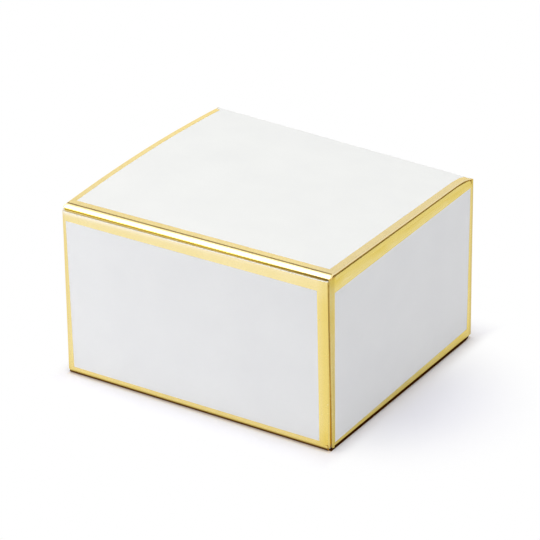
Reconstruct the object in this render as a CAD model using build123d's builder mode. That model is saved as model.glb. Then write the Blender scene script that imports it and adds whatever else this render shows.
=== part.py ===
from build123d import *
import os

os.makedirs("parts", exist_ok=True)

# Favor box: a small folding carton with tuck closures at both ends and gold foil edges.
# X runs left to right, Y front to back, Z up. The origin is the middle of the base, on the table.
# The lid is hinged on the back panel and tucks in behind the front panel.
# The base is the same closure turned over: hinged on the front panel, tucked in at the back.

# Outside of the closed carton, in millimetres
width = 60.0
depth = 55.0
height = 36.3

# Board, and the layers on it
board = 0.4
foil = 0.05
glue_film = 0.05

# Folds and creases
fold_inner_radius = 0.4
nose_inner_radius = 0.9
crease_play = 0.05
layer_gap = 0.15
tuck_lean = 12.5

# Lid and base
lid_inset = 0.2
lid_bow = 0.5
cut_edge_drop = 0.8

# Tuck flaps
tuck_length = 13.0
tuck_side_room = 0.25
tuck_taper = 0.8
tuck_corner_radius = 7.0

# Dust flaps
dust_length = 22.0
dust_hinge_margin = 1.5
dust_tuck_margin = 2.7
dust_hinge_taper = 11.0
dust_tuck_taper = 1.5
dust_corner_radius = 3.0

# Glue flap at the front right corner, inside the right panel
glue_flap_width = 12.0
glue_flap_margin = 2.0
glue_flap_taper = 2.5
glue_margin = 1.2
seam_setback = 0.25

# Gold borders around the white field of each face
front_border_left = 0.9
front_border_right = 2.1
front_border_top = 2.2
front_border_bottom = 1.5
right_border_front = 1.5
right_border_back = 1.5
right_border_top = 2.0
right_border_bottom = 1.6
back_border_side = 1.5
back_border_top = 2.6
back_border_bottom = 1.7
left_border_front = 2.1
left_border_back = 1.5
left_border_top = 2.0
left_border_bottom = 1.6
lid_border_left = 1.0
lid_border_right = 1.4
lid_border_tuck = 2.5
base_border_side = 1.4
base_border_tuck = 2.2
base_border_hinge = 1.2

# Sizes worked out from those above
half_width = width / 2
half_depth = depth / 2
fold_radius = fold_inner_radius + board
nose_radius = nose_inner_radius + board
bead = board / 2
swing_room = bead + crease_play
mitre = fold_radius + board

# Levels: the side panels stop under the lid, where their dust flaps fold in
flap_level = height - board - layer_gap
side_top = flap_level - bead
side_bottom = height - side_top
cut_edge_top = height - cut_edge_drop
cut_edge_bottom = cut_edge_drop

# Upright panels: the front panel turns into the glue flap inside the right panel
seam_x = half_width - board - glue_film
seam_y = -half_depth + seam_setback

# Closure section, seen along X: the hinge crease, the flat of the panel and its round nose
hinge_axis_y = half_depth - bead
hinge_axis_z = height - bead
hinge_end = hinge_axis_y - swing_room
nose_face = -half_depth + board + layer_gap
nose_start = nose_face + nose_radius
nose_level = height - nose_radius
tuck_axis_y = nose_face + bead
lid_half = half_width - lid_inset
tuck_half = seam_x - board - tuck_side_room
shoulder_level = flap_level + layer_gap / 2
shoulder_width = lid_half - tuck_half

# Dust flaps, in plan
dust_axis_x = half_width - bead
dust_root_x = dust_axis_x - swing_room
dust_tip_x = half_width - dust_length
dust_hinge_y = half_depth - dust_hinge_margin
dust_tuck_y = -half_depth + dust_tuck_margin
dust_root_length = dust_hinge_y - dust_tuck_y
dust_root_middle = (dust_hinge_y + dust_tuck_y) / 2


def finish(name, builder):
    """Label a finished piece and write it out."""
    builder.part.label = name
    export_step(builder.part, f"parts/{name}.step")


def tube_band(right, front, thickness):
    """Plan of a band of this thickness round the carton, its right and front faces at these places."""
    across = right + half_width
    along = half_depth - front
    with BuildSketch() as band:
        with Locations(((right - half_width) / 2, (half_depth + front) / 2)):
            RectangleRounded(across, along, fold_radius)
            RectangleRounded(
                across - 2 * thickness, along - 2 * thickness, fold_radius - thickness, mode=Mode.SUBTRACT
            )
    return band.sketch


def face_window(face, across, upward):
    """White field on a face, between these limits along the face's own two directions."""
    with BuildSketch(face) as field:
        with Locations(((across[0] + across[1]) / 2, (upward[0] + upward[1]) / 2)):
            Rectangle(across[1] - across[0], upward[1] - upward[0])
    return field.sketch


# Upright panels: each has its plan band, its share of the corner folds and its white field
left_end = -half_width + mitre
right_end = half_width - mitre
front_end = -half_depth + mitre
back_end = half_depth - mitre
seam_end = seam_x - mitre

front_face = Plane(origin=(0, -half_depth, 0), x_dir=(1, 0, 0), z_dir=(0, -1, 0))
back_face = Plane(origin=(0, half_depth, 0), x_dir=(-1, 0, 0), z_dir=(0, 1, 0))
left_face = Plane(origin=(-half_width, 0, 0), x_dir=(0, -1, 0), z_dir=(-1, 0, 0))
right_face = Plane(origin=(half_width, 0, 0), x_dir=(0, 1, 0), z_dir=(1, 0, 0))

front_left = (-half_width, -half_depth)
back_left = (-half_width, half_depth)
back_right = (half_width, half_depth)
front_share = [front_left, (seam_x, -half_depth), (seam_end, front_end), (left_end, front_end)]
left_share = [front_left, (left_end, front_end), (left_end, back_end), back_left]
back_share = [back_left, (left_end, back_end), (right_end, back_end), back_right]
right_share = [back_right, (right_end, back_end), (right_end, seam_y), (half_width, seam_y)]

front_window = face_window(
    front_face,
    (-half_width + front_border_left, seam_x - front_border_right),
    (front_border_bottom, cut_edge_top - front_border_top),
)
left_window = face_window(
    left_face,
    (-half_depth + left_border_back, half_depth - left_border_front),
    (side_bottom + left_border_bottom, side_top - left_border_top),
)
back_window = face_window(
    back_face,
    (-half_width + back_border_side, half_width - back_border_side),
    (cut_edge_bottom + back_border_bottom, height - back_border_top),
)
right_window = face_window(
    right_face,
    (seam_y + right_border_front, half_depth - right_border_back),
    (side_bottom + right_border_bottom, side_top - right_border_top),
)

upright_panels = {
    "front": (seam_x, -half_depth, front_share, side_bottom, cut_edge_top, front_window),
    "left": (half_width, -half_depth, left_share, side_bottom, side_top, left_window),
    "back": (half_width, -half_depth, back_share, cut_edge_bottom, side_top, back_window),
    "right": (half_width, -depth, right_share, side_bottom, side_top, right_window),
}
hinge_tongues = {
    "front": (-hinge_axis_y, height - hinge_axis_z, side_bottom),
    "back": (hinge_axis_y, hinge_axis_z, side_top),
}
dust_creases = {
    "left": -dust_axis_x,
    "right": dust_axis_x,
}

for name, (right, front, share, bottom, top, window) in upright_panels.items():
    with BuildPart() as blank:
        with BuildSketch(Plane.XY.offset(bottom)):
            add(tube_band(right, front, board))
            with BuildLine():
                Polyline(*share, close=True)
            make_face(mode=Mode.INTERSECT)
        extrude(amount=top - bottom)
        # A tongue between the corner folds carries the crease of the lid or of the base
        if name in hinge_tongues:
            axis_y, axis_z, edge = hinge_tongues[name]
            middle_x = (right - half_width) / 2
            hinge_length = right + half_width - 2 * fold_radius
            with Locations((middle_x, axis_y, (axis_z + edge) / 2)):
                Box(hinge_length, board, abs(axis_z - edge))
            with Locations((middle_x, axis_y, axis_z)):
                Cylinder(bead, hinge_length, rotation=(0, 90, 0))
        # Beads along the top and bottom edges are the creases of the dust flaps
        if name in dust_creases:
            with Locations(
                (dust_creases[name], dust_root_middle, side_top),
                (dust_creases[name], -dust_root_middle, side_bottom),
            ):
                Cylinder(bead, dust_root_length, rotation=(90, 0, 0))

    with BuildPart() as panel_foil:
        add(blank.part)
        with BuildSketch():
            add(tube_band(right, front, foil))
        extrude(amount=height, mode=Mode.INTERSECT)
        extrude(window, amount=-mitre, mode=Mode.SUBTRACT)
    finish(f"{name}_foil", panel_foil)

    with BuildPart() as panel:
        add(blank.part)
        add(panel_foil.part, mode=Mode.SUBTRACT)
    finish(f"{name}_panel", panel)


# Glue flap: the front panel's band goes on round the seam corner, with its ends cut on a slant
glue_flap_end = -half_depth + glue_flap_width
glue_low = side_bottom + glue_flap_margin
glue_high = side_top - glue_flap_margin
with BuildPart() as glue_flap:
    with BuildSketch():
        add(tube_band(seam_x, -half_depth, board))
        with BuildLine():
            Polyline(
                (seam_x, -half_depth), (seam_x, glue_flap_end),
                (seam_end, glue_flap_end), (seam_end, front_end), close=True,
            )
        make_face(mode=Mode.INTERSECT)
    extrude(amount=height)
    with BuildSketch(Plane.YZ):
        with BuildLine():
            Polyline(
                (-half_depth, glue_low), (glue_flap_end, glue_low + glue_flap_taper),
                (glue_flap_end, glue_high - glue_flap_taper), (-half_depth, glue_high), close=True,
            )
        make_face()
    extrude(amount=width, mode=Mode.INTERSECT)
finish("glue_flap", glue_flap)

# Adhesive between the glue flap and the right panel
glue_front = seam_y + glue_margin
with BuildPart() as seam_glue:
    with BuildSketch(Plane.YZ.offset(seam_x)):
        with Locations(((glue_front + glue_flap_end - glue_margin) / 2, height / 2)):
            Rectangle(glue_flap_end - glue_margin - glue_front, glue_high - glue_low - 2 * glue_flap_taper)
    extrude(amount=glue_film)
    # Where the seam corner turns, the film ends with the flat of the glue flap
    with BuildSketch():
        with Locations((seam_x, -half_depth)):
            Rectangle(width, 2 * fold_radius)
    extrude(amount=height, mode=Mode.SUBTRACT)
finish("seam_glue", seam_glue)


def closing_section(thickness, bow):
    """Section of a closing panel: its flat from the hinge end, and the nose that turns down in front."""
    with BuildSketch() as section:
        with BuildLine():
            for drop in (0, thickness):
                ends = (hinge_end, height - drop), (nose_start, height - drop)
                if bow:
                    crown = ((hinge_end + nose_start) / 2, height - drop + bow)
                    ThreePointArc(ends[0], crown, ends[1])
                else:
                    Line(*ends)
                CenterArc((nose_start, nose_level), nose_radius - drop, 90, 90)
            Line((hinge_end, height), (hinge_end, height - thickness))
            Line((nose_face, nose_level), (nose_face + thickness, nose_level))
        make_face()
    return section.sketch


# The two closures share their sections: the base one is turned half round about X
lid_section = Plane.YZ
lid_flaps = Plane.XY.offset(flap_level)
base_section = Plane(origin=(0, 0, height), x_dir=(0, -1, 0), z_dir=(1, 0, 0))
base_flaps = Plane(origin=(0, 0, height - flap_level), x_dir=(1, 0, 0), z_dir=(0, 0, -1))

# White field of each closing panel: limits across, and from the nose to the hinge
lid_field = (
    -lid_half + lid_border_left, lid_half - lid_border_right,
    nose_start + lid_border_tuck, half_depth,
)
base_field = (
    -lid_half + base_border_side, lid_half - base_border_side,
    nose_start + base_border_tuck, hinge_end - base_border_hinge,
)
closures = {
    "lid": (lid_section, lid_flaps, lid_bow, lid_field),
    "base": (base_section, base_flaps, 0, base_field),
}

for name, (section, flaps, bow, field) in closures.items():
    field_left, field_right, field_tuck, field_hinge = field
    with BuildPart() as blank:
        with BuildSketch(section):
            add(closing_section(board, bow))
        extrude(amount=lid_half, both=True)
        # Below the side panels' edge the nose is as narrow as the tuck flap
        for end in (-1, 1):
            with BuildSketch(section.offset(end * lid_half)):
                with Locations(((nose_face + nose_start) / 2, (nose_level + shoulder_level) / 2)):
                    Rectangle(nose_radius + board, shoulder_level - nose_level)
            extrude(amount=-end * shoulder_width, mode=Mode.SUBTRACT)
        with BuildSketch(section):
            with Locations((tuck_axis_y, nose_level)):
                Circle(bead)
        extrude(amount=tuck_half, both=True)

    with BuildPart() as panel_foil:
        add(blank.part)
        with BuildSketch(section):
            add(closing_section(foil, bow))
        extrude(amount=lid_half, both=True, mode=Mode.INTERSECT)
        with BuildSketch(flaps):
            with Locations(((field_left + field_right) / 2, (field_tuck + field_hinge) / 2)):
                Rectangle(field_right - field_left, field_hinge - field_tuck)
        extrude(amount=height, mode=Mode.SUBTRACT)
    finish(f"{name}_foil", panel_foil)

    # The board is creased where the nose begins: the flat panel and the nose are two pieces
    nose_line = section.from_local_coords(Vector(nose_start, 0, 0))
    crease = Plane(origin=nose_line, x_dir=section.z_dir, z_dir=section.x_dir)
    for piece, side in (("panel", Keep.TOP), ("nose", Keep.BOTTOM)):
        with BuildPart() as closing_board:
            add(blank.part)
            add(panel_foil.part, mode=Mode.SUBTRACT)
            split(bisect_by=crease, keep=side)
        finish(f"{name}_{piece}", closing_board)

    # Tuck flap: hangs from the nose's bead and leans inwards, with round free corners
    tuck_origin = section.from_local_coords(Vector(tuck_axis_y, nose_level, 0))
    upright = Plane(origin=tuck_origin, x_dir=section.z_dir, z_dir=-section.x_dir)
    with BuildPart() as tuck_flap:
        with BuildSketch(upright.rotated((tuck_lean, 0, 0))):
            with BuildLine():
                Polyline(
                    (-tuck_half, -swing_room), (tuck_half, -swing_room),
                    (tuck_half - tuck_taper, -tuck_length), (tuck_taper - tuck_half, -tuck_length),
                    close=True,
                )
            flap_face = make_face()
            fillet(flap_face.vertices().group_by(Axis.Y)[0], tuck_corner_radius)
        extrude(amount=bead, both=True)
    finish(f"{name}_tuck_flap", tuck_flap)

    # Dust flaps: fold in from the side panels, tapered at the hinge side so that the lid lifts clear
    for side, sign in (("left", -1), ("right", 1)):
        with BuildPart() as dust_flap:
            with BuildSketch(flaps):
                with BuildLine():
                    Polyline(
                        (sign * dust_root_x, dust_hinge_y),
                        (sign * dust_tip_x, dust_hinge_y - dust_hinge_taper),
                        (sign * dust_tip_x, dust_tuck_y + dust_tuck_taper),
                        (sign * dust_root_x, dust_tuck_y), close=True,
                    )
                flap_face = make_face()
                tips = flap_face.vertices().sort_by(lambda corner: abs(corner.X))[:2]
                fillet(tips, dust_corner_radius)
            extrude(amount=-board)
        finish(f"{name}_{side}_dust_flap", dust_flap)
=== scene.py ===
import math

import bpy
import numpy as np
from mathutils import Matrix, Vector, noise


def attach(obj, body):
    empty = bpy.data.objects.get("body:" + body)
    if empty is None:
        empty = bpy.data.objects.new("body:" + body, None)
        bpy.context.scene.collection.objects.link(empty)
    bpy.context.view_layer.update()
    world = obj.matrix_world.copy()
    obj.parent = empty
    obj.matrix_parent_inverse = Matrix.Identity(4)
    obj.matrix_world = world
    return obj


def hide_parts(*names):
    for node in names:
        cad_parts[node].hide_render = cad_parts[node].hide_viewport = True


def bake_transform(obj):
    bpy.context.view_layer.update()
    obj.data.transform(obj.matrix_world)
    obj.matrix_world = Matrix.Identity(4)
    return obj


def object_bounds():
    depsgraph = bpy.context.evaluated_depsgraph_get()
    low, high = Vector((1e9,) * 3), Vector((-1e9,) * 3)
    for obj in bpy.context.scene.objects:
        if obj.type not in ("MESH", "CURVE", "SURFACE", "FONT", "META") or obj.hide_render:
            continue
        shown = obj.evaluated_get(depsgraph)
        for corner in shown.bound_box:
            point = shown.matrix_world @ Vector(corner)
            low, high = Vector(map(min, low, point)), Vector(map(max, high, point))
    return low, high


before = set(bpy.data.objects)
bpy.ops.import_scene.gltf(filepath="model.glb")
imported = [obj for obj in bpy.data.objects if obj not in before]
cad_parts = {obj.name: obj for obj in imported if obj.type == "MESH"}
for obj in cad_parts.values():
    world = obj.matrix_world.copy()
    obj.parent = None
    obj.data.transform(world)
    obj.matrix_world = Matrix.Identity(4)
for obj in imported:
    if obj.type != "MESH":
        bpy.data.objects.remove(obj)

# Favor box: the folded board with its foil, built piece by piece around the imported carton.
# Lengths are millimetres in the carton's own frame and become metres when a mesh is made.
cad_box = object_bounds()
MM = 0.001

# Sizes of the carton: width and depth are the frame's own, and the height is that of the lid at its hinge
WIDTH, DEPTH = (round((high - low) / MM, 2) for low, high in list(zip(*cad_box))[:2])
HEIGHT = 36.3
BOARD, FOLD = 0.4, 0.8
HALF_W, HALF_D = WIDTH / 2, DEPTH / 2
SEAM_X, SEAM_Y = HALF_W - 0.45, -HALF_D + 0.95
SIDE_TOP, CUT_TOP, CUT_BOTTOM = HEIGHT - 0.75, HEIGHT - 0.92, 0.8
LID_HALF, BASE_HALF, TUCK_HALF = HALF_W - 0.2, HALF_W - 0.1, HALF_W - 1.1
HINGE_Y, HINGE_END, FLAT_END = HALF_D - 0.2, HALF_D - 0.45, HALF_D - 1.35
NOSE_FACE, NOSE_LEVEL = -HALF_D + 0.55, HEIGHT - 1.3
TUCK_Y, TUCK_LEAN, TUCK_LENGTH = -HALF_D + 0.75, math.radians(12.5), 13.0
DUST_ROOT, DUST_TIP = HALF_W - 0.45, HALF_W - 22.0
DUST_BACK, DUST_FRONT, FOLD_FRONT = HALF_D - 1.5, -HALF_D + 2.7, -HALF_D + 2.0
FLAP_LEVEL = HEIGHT - 0.55
GLUE_END = -HALF_D + 12.0

# Foil layer, as it stands on the board
FOIL_TOP, FOIL_UNDER = 0.02, 0.002

# How far the folded carton is out of true: corner heights, the back leaning in at the top, the left side
# leaning out, the front's foot set back, and the back right corner standing off the floor and pressed down
RISE_FL, RISE_FR, RISE_BL, RISE_BR = -0.17, 0.50, 0.12, 0.02
BACK_LEAN_LEFT, BACK_LEAN_RIGHT, FOOT = 0.3, 0.6, 0.62
LEFT_LOW, LEFT_HIGH = 0.27, 0.13
STAND_OFF, MOST_UP = 0.17, 1.1
SAG, SAG_START, SAG_REACH = 0.74, 20.5, 6.8
SAG_LEVEL, SAG_RISE = 33.4, 2.0

# The lid stands open at its front, lies aside at its back left, sinks at its back right, and is bowed
LIFT_LEFT, LIFT_RIGHT, LIFT_ASIDE = 0.38, 0.12, 0.15
SINK, SINK_START, SINK_REACH = 0.5, 23.5, 4.0
SINK_LEVEL, SINK_RISE = 35.1, 0.9
BOW_LEFT, BOW_RIGHT = 0.85, 0.0


def part_way(values, half):
    """Places from one side of the carton to the other, as 0 to 1."""
    return np.clip((values / half + 1) / 2, 0, 1)


def settle(p):
    """The carton's shape out of true, on points of the ideal carton."""
    q = np.array(p, float)
    up = np.clip(q[..., 2] / HEIGHT, 0, MOST_UP)
    down = np.clip(1 - up, 0, 1)
    u, v = part_way(q[..., 0], HALF_W), part_way(q[..., 1], HALF_D)
    front = (1 - u) * RISE_FL + u * RISE_FR
    back = (1 - u) * RISE_BL + u * RISE_BR
    sag = SAG * u * np.clip((q[..., 1] - SAG_START) / SAG_REACH, 0, 1) ** 2
    sag = sag * smooth((q[..., 2] - SAG_LEVEL) / SAG_RISE)
    lean = BACK_LEAN_LEFT + (BACK_LEAN_RIGHT - BACK_LEAN_LEFT) * u
    q[..., 2] += up * ((1 - v) * front + v * back) - sag + STAND_OFF * u * v * down
    q[..., 1] += FOOT * (1 - v) ** 2 * down - up * v * lean
    q[..., 0] -= (LEFT_LOW + (LEFT_HIGH - LEFT_LOW) * up) * (1 - u) * (1 - v)
    return q


def lift(p):
    """The lid standing a little open, on points of the ideal lid."""
    q = np.array(p, float)
    u = part_way(q[..., 0], HALF_W)
    most = LIFT_LEFT + (LIFT_RIGHT - LIFT_LEFT) * u
    sink = SINK * u * np.clip((q[..., 1] - SINK_START) / SINK_REACH, 0, 1) ** 2
    sink = sink * smooth((q[..., 2] - SINK_LEVEL) / SINK_RISE)
    open_by = np.clip((HINGE_Y - q[..., 1]) / (HINGE_Y - NOSE_FACE), 0, 1)
    q[..., 2] += most * open_by - sink
    q[..., 0] += LIFT_ASIDE * (1 - u) * (1 - open_by) ** 2
    return q


def turned(p):
    """The base is the lid's closure turned half round about X."""
    q = np.array(p, float)
    q[..., 1] *= -1
    q[..., 2] = HEIGHT - q[..., 2]
    return q


def ripple(p, amount=0.035, length=11.0, seed=0.0):
    """Small unevenness of the board, along its normal."""
    shift = Vector((seed, 2 * seed, 3 * seed))
    values = [noise.noise(Vector(v) / length + shift) for v in p.reshape(-1, 3)]
    return amount * np.array(values).reshape(p.shape[:-1])


def smooth(t):
    t = np.clip(t, 0, 1)
    return t * t * (3 - 2 * t)


BURR_DEPTH, BURR_WIDTH = 0.2, 0.28
BURR_STEPS = (0.03, 0.07, 0.12, 0.18, 0.24, 0.3)


def burr(distance):
    """How far the die has pressed the face down beside a cut edge."""
    return BURR_DEPTH * np.clip(1 - np.asarray(distance) / BURR_WIDTH, 0, 1) ** 2


# Materials. A helper takes the node tree from the socket that it is given.


def new_material(name):
    mat = bpy.data.materials.new(name)
    mat.use_nodes = True
    return mat, mat.node_tree, mat.node_tree.nodes["Principled BSDF"]


def bare_material(name):
    """A material with no node but its output."""
    mat, tree, _ = new_material(name)
    tree.nodes.clear()
    return mat, tree, tree.nodes.new("ShaderNodeOutputMaterial").inputs["Surface"]


def coords(tree, scale=(1, 1, 1)):
    tex = tree.nodes.new("ShaderNodeTexCoord")
    mapping = tree.nodes.new("ShaderNodeMapping")
    mapping.inputs["Scale"].default_value = scale
    tree.links.new(tex.outputs["Object"], mapping.inputs["Vector"])
    return mapping.outputs["Vector"]


def noise_tex(vector, scale, detail=3.0, rough=0.5):
    tree = vector.id_data
    node = tree.nodes.new("ShaderNodeTexNoise")
    node.inputs["Scale"].default_value = scale
    node.inputs["Detail"].default_value = detail
    node.inputs["Roughness"].default_value = rough
    tree.links.new(vector, node.inputs["Vector"])
    return node.outputs["Fac"]


def remap(value, low, high, to_low, to_high):
    tree = value.id_data
    node = tree.nodes.new("ShaderNodeMapRange")
    limits = {"From Min": low, "From Max": high, "To Min": to_low, "To Max": to_high}
    for key, limit in limits.items():
        node.inputs[key].default_value = limit
    tree.links.new(value, node.inputs["Value"])
    return node.outputs["Result"]


def math_node(kind, a, b):
    tree = a.id_data
    node = tree.nodes.new("ShaderNodeMath")
    node.operation = kind
    for socket, value in zip(node.inputs, (a, b)):
        if isinstance(value, (int, float)):
            socket.default_value = value
        else:
            tree.links.new(value, socket)
    return node.outputs["Value"]


def mix_color(fac, a, b):
    tree = fac.id_data
    node = tree.nodes.new("ShaderNodeMix")
    node.data_type = "RGBA"
    tree.links.new(fac, node.inputs["Factor"])
    for socket, value in ((node.inputs[6], a), (node.inputs[7], b)):
        if isinstance(value, tuple):
            socket.default_value = (*value, 1)
        else:
            tree.links.new(value, socket)
    return node.outputs[2]


def surface(bsdf, tone, rough, specular, height, strength, distance):
    """Gives a material its colour, roughness, shine and fine relief."""
    tree = bsdf.id_data
    bump = tree.nodes.new("ShaderNodeBump")
    bump.inputs["Strength"].default_value = strength
    bump.inputs["Distance"].default_value = distance
    bsdf.inputs["Specular IOR Level"].default_value = specular
    tree.links.new(height, bump.inputs["Height"])
    tree.links.new(bump.outputs["Normal"], bsdf.inputs["Normal"])
    tree.links.new(tone, bsdf.inputs["Base Color"])
    tree.links.new(rough, bsdf.inputs["Roughness"])


def attribute(tree, name):
    node = tree.nodes.new("ShaderNodeAttribute")
    node.attribute_name = name
    return node.outputs["Fac"]


# Foil tones: a painted-light pale, the board's own colour in cracks, and a painted-shade dark brown
PAINTED_LIGHT_TONE, CRACK_TONE, PAINTED_SHADE_TONE = (1.0, 0.94, 0.78), (0.84, 0.80, 0.68), (0.10, 0.032, 0.001)
NICK_DARK = 0.55


def white_coat():
    """Coated face of the board: satin white, with faint cloudiness and a fine grain."""
    mat, tree, bsdf = new_material("white_coat")
    at = coords(tree)
    cloud = noise_tex(at, 110, 4)
    grain = noise_tex(at, 2600, 3, 0.6)
    tone = mix_color(remap(cloud, 0.3, 0.7, 0, 1), (0.845, 0.853, 0.843), (0.875, 0.883, 0.868))
    tone = mix_color(remap(grain, 0.25, 0.75, 0, 0.35), tone, (0.83, 0.838, 0.828))
    surface(bsdf, tone, remap(grain, 0.3, 0.7, 0.42, 0.54), 0.4, grain, 0.12, 0.00003)
    return mat


def raw_board():
    """Uncoated inside of the board: warmer, matt, with short fibres."""
    mat, tree, bsdf = new_material("raw_board")
    cloud = noise_tex(coords(tree), 160, 5)
    fibre_a = noise_tex(coords(tree, (1, 5, 1)), 1300, 4, 0.65)
    fibre_b = noise_tex(coords(tree, (5, 1, 4)), 1100, 4, 0.65)
    fibre = math_node("MAXIMUM", fibre_a, fibre_b)
    tone = mix_color(remap(cloud, 0.3, 0.7, 0, 1), (0.80, 0.79, 0.76), (0.85, 0.84, 0.81))
    tone = mix_color(remap(fibre, 0.52, 0.72, 0, 0.55), tone, (0.70, 0.68, 0.63))
    surface(bsdf, tone, remap(fibre, 0.4, 0.7, 0.78, 0.95), 0.25, fibre, 0.35, 0.00005)
    return mat


def cut_edge(name, dark, light, shine=0.0):
    """Die-cut edge of the board: core with torn fibres."""
    mat, tree, bsdf = new_material(name)
    fibre = noise_tex(coords(tree), 4200, 4, 0.7)
    nick = noise_tex(coords(tree), 900, 3, 0.6)
    tone = mix_color(remap(fibre, 0.3, 0.7, 0, 1), dark, light)
    tone = mix_color(remap(nick, 0.58, 0.68, 0, 0.35), tone, tuple(NICK_DARK * k for k in dark))
    surface(bsdf, tone, remap(fibre, 0.3, 0.7, 0.75, 0.95), shine, fibre, 0.5, 0.00006)
    return mat


def gold_foil(name, pale, deep, grain, streaks=0.10, metal=1.0):
    """Stamped foil: satin pale gold with streaks along its grain, cracked on worn folds, with painted shade
    where its crease attribute is high and painted light where its pale attribute is.
    """
    mat, tree, bsdf = new_material(name)
    at = coords(tree)
    cloud = noise_tex(at, 240, 4)
    lines = noise_tex(coords(tree, grain), 700, 4, 0.6)
    fine = noise_tex(at, 5200, 2, 0.6)
    crack_noise = noise_tex(at, 2300, 4, 0.7)
    crack = math_node("ADD", crack_noise, attribute(tree, "wear"))
    crack = remap(crack, 1.12, 1.2, 0, 1)
    crease = attribute(tree, "crease")
    tone = mix_color(remap(cloud, 0.35, 0.65, 0, 0.10), pale, deep)
    tone = mix_color(remap(lines, 0.4, 0.7, 0, streaks), tone, deep)
    # The tone and crease attributes carry painted shade and the pale attribute painted light; tone also
    # carries random blotches
    tone = mix_color(attribute(tree, "tone"), tone, deep)
    tone = mix_color(attribute(tree, "pale"), tone, PAINTED_LIGHT_TONE)
    tone = mix_color(crack, tone, CRACK_TONE)
    tone = mix_color(crease, tone, PAINTED_SHADE_TONE)
    dull = math_node("MAXIMUM", crack, remap(crease, 0.5, 0.9, 0, 1))
    tree.links.new(remap(dull, 0, 1, metal, 0), bsdf.inputs["Metallic"])
    satin = remap(lines, 0.3, 0.7, 0.22, 0.28)
    rough = math_node("ADD", satin, math_node("MULTIPLY", crack, 0.5))
    bsdf.inputs["Specular Tint"].default_value = (1.0, 0.86, 0.55, 1)
    height = math_node("ADD", fine, math_node("MULTIPLY", lines, 0.6))
    surface(bsdf, tone, rough, 0.0, height, 0.012, 0.00002)
    return mat


def adhesive():
    """Dried film of adhesive: cloudy and slightly glossy."""
    mat, tree, bsdf = new_material("dried_adhesive")
    cloud = noise_tex(coords(tree), 500, 4, 0.6)
    tone = mix_color(remap(cloud, 0.3, 0.7, 0, 1), (0.80, 0.76, 0.62), (0.86, 0.84, 0.74))
    surface(bsdf, tone, remap(cloud, 0.3, 0.7, 0.25, 0.45), 0.5, cloud, 0.3, 0.00005)
    return mat


WHITE = white_coat()
RAW = raw_board()
EDGE = cut_edge("cut_edge", (0.86, 0.82, 0.70), (0.93, 0.91, 0.83), 0.2)
# The next three cut edges are painted shade, brown, warm brown and nearly black, for the dark gap lines
EDGE_GOLD_PAINTED_SHADE = cut_edge("cut_edge_gold_painted_shade", (0.42, 0.21, 0.02), (0.52, 0.29, 0.05))
# along the lid and the base's hinge fold, along the seam, and along the base
EDGE_WARM_PAINTED_SHADE = cut_edge("cut_edge_warm_painted_shade", (0.55, 0.34, 0.06), (0.66, 0.45, 0.12))
EDGE_DARK_PAINTED_SHADE = cut_edge("cut_edge_dark_painted_shade", (0.05, 0.011, 0.0006), (0.08, 0.022, 0.001))
# Below: the foil as lit on the front and the lid; a darker, more streaked copy with painted shade for the
# side walls
GOLD = gold_foil("gold_foil", (0.955, 0.81, 0.43), (0.82, 0.63, 0.14), (1, 1, 6))
# and their flaps; and a dull amber copy that is painted shade, for the foil seen in the seam
GOLD_SIDE_PAINTED_SHADE = gold_foil("gold_foil_side_painted_shade", (0.81, 0.70, 0.345), (0.73, 0.57, 0.10), (6, 0.5, 6), 0.5)
GOLD_PAINTED_SHADE = gold_foil("gold_foil_painted_shade", (0.92, 0.50, 0.03), (0.83, 0.43, 0.02), (1, 1, 6), metal=0.1)
GLUE = adhesive()


# Meshes


SHARP = math.radians(40)
BACK, RIM = 1, 2


def put(name, data):
    """A new object in the scene."""
    obj = bpy.data.objects.new(name, data)
    bpy.context.scene.collection.objects.link(obj)
    return obj


def shell(name, outer, inner, materials, zones=None, mask=None, **fields):
    """A closed sheet between two grids of points; its second and third material are for its back and rim."""
    rows, cols = outer.shape[0] - 1, outer.shape[1] - 1
    mask = np.ones((rows, cols), bool) if mask is None else mask
    zones = np.zeros((rows, cols), int) if zones is None else zones
    used = np.zeros(outer.shape[:2], bool)
    for i, j in zip(*np.nonzero(mask)):
        used[i:i + 2, j:j + 2] = True
    count = int(used.sum())
    index = -np.ones(outer.shape[:2], int)
    index[used] = np.arange(count)
    i, j = [k[len(k) // 2] for k in np.nonzero(mask)]
    turn = np.cross(outer[i + 1, j] - outer[i, j], outer[i, j + 1] - outer[i, j])
    way = -1 if np.dot(turn, outer[i, j] - inner[i, j]) < 0 else 1
    steps = [(0, 0), (1, 0), (1, 1), (0, 1)]
    beside = [(0, -1), (1, 0), (0, 1), (-1, 0)]
    faces, slots = [], []
    for i, j in zip(*np.nonzero(mask)):
        ring = [int(index[i + a, j + b]) for a, b in steps]
        faces.append(ring[::way])
        slots.append(int(zones[i, j]))
        under = [k + count for k in ring]
        faces.append(under[::-way])
        slots.append(BACK)
        for k, (a, b) in enumerate(beside):
            inside = 0 <= i + a < rows and 0 <= j + b < cols
            if inside and mask[i + a, j + b]:
                continue
            p, q = ring[k], ring[(k + 1) % 4]
            quad = [q, p, p + count, q + count]
            faces.append(quad[::way])
            slots.append(RIM)
    points = np.concatenate([outer[used], inner[used]]) * MM
    mesh = bpy.data.meshes.new(name)
    mesh.from_pydata(points.tolist(), [], faces)
    for mat in materials:
        mesh.materials.append(mat)
    mesh.polygons.foreach_set("material_index", slots)
    mesh.polygons.foreach_set("use_smooth", [True] * len(faces))
    mesh.set_sharp_from_angle(angle=SHARP)
    for field in ("wear", "tone", "pale", "crease"):
        values = np.zeros(2 * count, np.float32)
        if field in fields:
            values[:count] = fields[field][used]
        mesh.attributes.new(field, "FLOAT", "POINT").data.foreach_set("value", values)
    mesh.update()
    return put(name, mesh)


def dress(obj, body, node):
    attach(obj, body)
    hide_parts(node)


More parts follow.
